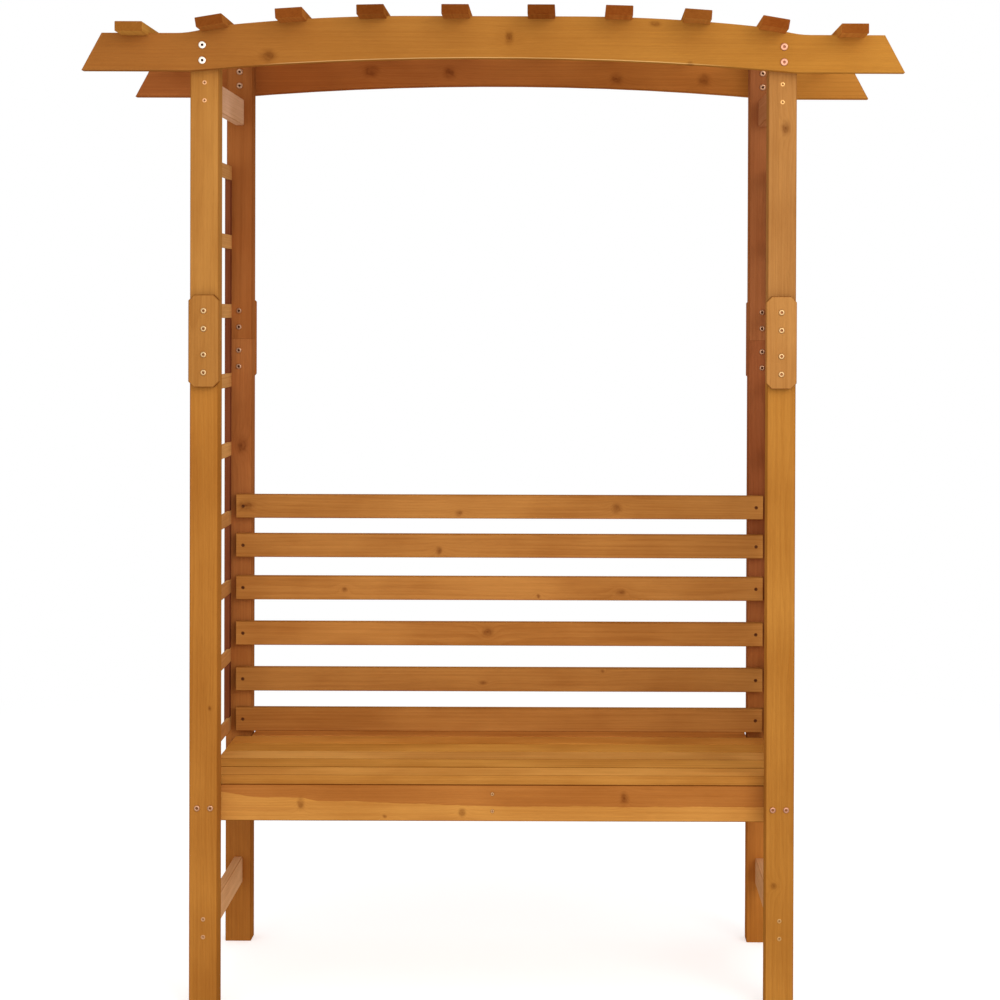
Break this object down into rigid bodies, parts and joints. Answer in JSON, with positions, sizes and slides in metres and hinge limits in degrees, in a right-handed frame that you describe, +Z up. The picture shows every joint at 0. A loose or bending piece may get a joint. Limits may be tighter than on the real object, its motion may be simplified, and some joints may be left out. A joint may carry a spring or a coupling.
{
  "type": "arbour seat",
  "caption": "Free-standing timber garden arbour with an arched slatted roof, trellis sides and a slatted bench seat.",
  "frame": {"origin": "on the ground below the middle of the roof, halfway between the posts", "axes": "+X to the right as seen from the front, +Y from the open front to the back slats, +Z up"},
  "size_m": [1.555, 0.649, 1.8988],
  "materials": {
    "post": "stained softwood, satin",
    "beam": "stained softwood, satin",
    "roof_slat": "stained softwood, satin",
    "side_rail": "stained softwood, satin",
    "trellis": "stained softwood, satin",
    "back_slat": "stained softwood, satin",
    "seat": "stained softwood, satin",
    "bolt": "bright zinc plate",
    "screw": "yellow zinc plate"
  },
  "bodies": {
    "root": {"back_slat_1": "back_slat", "back_slat_2": "back_slat", "back_slat_3": "back_slat", "back_slat_4": "back_slat", "back_slat_5": "back_slat", "back_slat_6": "back_slat", "back_slat_screws": "screw", "beam_bolts": "bolt", "frame_screws": "screw", "front_beam": "beam", "front_left_lower_post": "post", "front_left_splice_plate": "post", "front_left_upper_post": "post", "front_right_lower_post": "post", "front_right_splice_plate": "post", "front_right_upper_post": "post", "front_seat_rail": "seat", "left_lower_side_stretcher": "side_rail", "left_seat_bearer": "seat", "left_top_side_rail": "side_rail", "left_trellis_front_stile": "trellis", "left_trellis_laths": "trellis", "left_trellis_rear_stile": "trellis", "left_trellis_rungs": "trellis", "middle_seat_bearer": "seat", "rear_beam": "beam", "rear_left_lower_post": "post", "rear_left_splice_plate": "post", "rear_left_upper_post": "post", "rear_right_lower_post": "post", "rear_right_splice_plate": "post", "rear_right_upper_post": "post", "rear_seat_rail": "seat", "right_lower_side_stretcher": "side_rail", "right_seat_bearer": "seat", "right_top_side_rail": "side_rail", "right_trellis_front_stile": "trellis", "right_trellis_laths": "trellis", "right_trellis_rear_stile": "trellis", "right_trellis_rungs": "trellis", "roof_slat_01": "roof_slat", "roof_slat_02": "roof_slat", "roof_slat_03": "roof_slat", "roof_slat_04": "roof_slat", "roof_slat_05": "roof_slat", "roof_slat_06": "roof_slat", "roof_slat_07": "roof_slat", "roof_slat_08": "roof_slat", "roof_slat_09": "roof_slat", "roof_slat_10": "roof_slat", "seat_bolts": "bolt", "seat_slat_1": "seat", "seat_slat_2": "seat", "seat_slat_3": "seat", "seat_slat_4": "seat", "seat_slat_5": "seat", "seat_slat_6": "seat", "splice_bolts": "bolt"}
  },
  "joints": []
}
